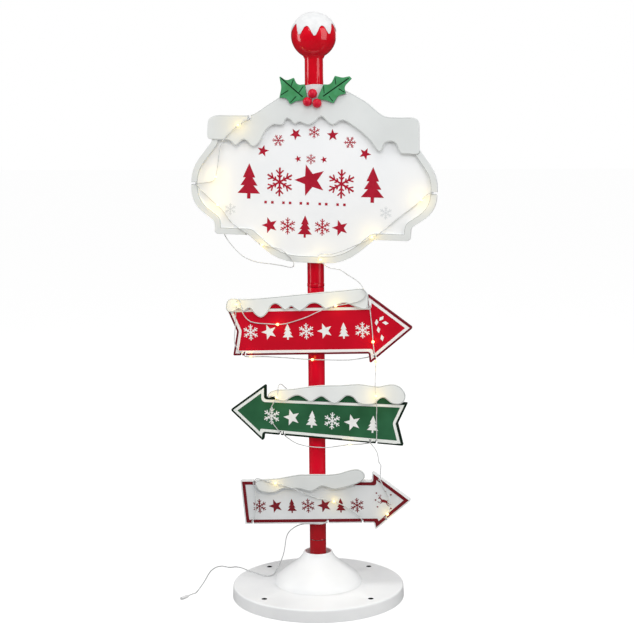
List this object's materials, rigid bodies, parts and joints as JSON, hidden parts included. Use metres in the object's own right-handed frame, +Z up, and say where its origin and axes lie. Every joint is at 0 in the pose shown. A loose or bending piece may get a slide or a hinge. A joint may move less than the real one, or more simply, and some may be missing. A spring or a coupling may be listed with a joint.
{
  "type": "christmas direction sign",
  "caption": "Freestanding Christmas signpost with a round base, a red pole, a snow-capped plaque, tilted arrow boards, a ball finial with holly, and a laced string of lights.",
  "frame": {"origin": "centre of the round base on the floor", "axes": "+Z up along the pole, the faces of the boards towards -Y, +X towards the tips of the red and white arrows"},
  "size_m": [0.4027, 0.2728, 0.914],
  "materials": {
    "base_plastic": "smooth satin white",
    "pole_paint": "satin red paint",
    "sleeve_steel": "drawn tube",
    "finial_plastic": "high gloss red",
    "snow_plastic": "matt pale grey white",
    "panel_plastic": "smooth satin white",
    "leaf_plastic": "matt green with dark veins",
    "berry_plastic": "gloss red",
    "red_board": "satin red with a white border line",
    "green_board": "satin green with a white border line",
    "white_board": "satin pale grey with a dark red border line",
    "clip_plastic": "satin red",
    "screw_steel": "zinc plated",
    "wire_plastic": "clear sheath over a silver wire",
    "bead_plastic": "clear resin over a warm white light",
    "plug_plastic": "white moulded"
  },
  "bodies": {
    "root": {"base": "base_plastic", "lower_pole": "pole_paint", "middle_pole": "pole_paint", "upper_pole": "pole_paint", "lower_sleeve": "sleeve_steel", "middle_sleeve": "pole_paint", "upper_sleeve": "sleeve_steel", "finial": "finial_plastic", "finial_snow": "snow_plastic", "plaque_panel": "panel_plastic", "plaque_rim": "snow_plastic", "plaque_snow": "snow_plastic", "holly_leaf_left": "leaf_plastic", "holly_leaf_right": "leaf_plastic", "holly_berries": "berry_plastic", "red_arrow": "red_board", "red_arrow_snow": "snow_plastic", "green_arrow": "green_board", "green_arrow_snow": "snow_plastic", "white_arrow": "white_board", "white_arrow_snow": "snow_plastic", "plaque_clip_top": "clip_plastic", "plaque_clip_bottom": "clip_plastic", "red_clip": "clip_plastic", "green_clip": "clip_plastic", "white_clip": "clip_plastic", "clip_screws": "screw_steel", "light_string": "wire_plastic", "light_beads": "bead_plastic", "lead_cord": "wire_plastic", "lead_plug": "plug_plastic"}
  },
  "joints": []
}
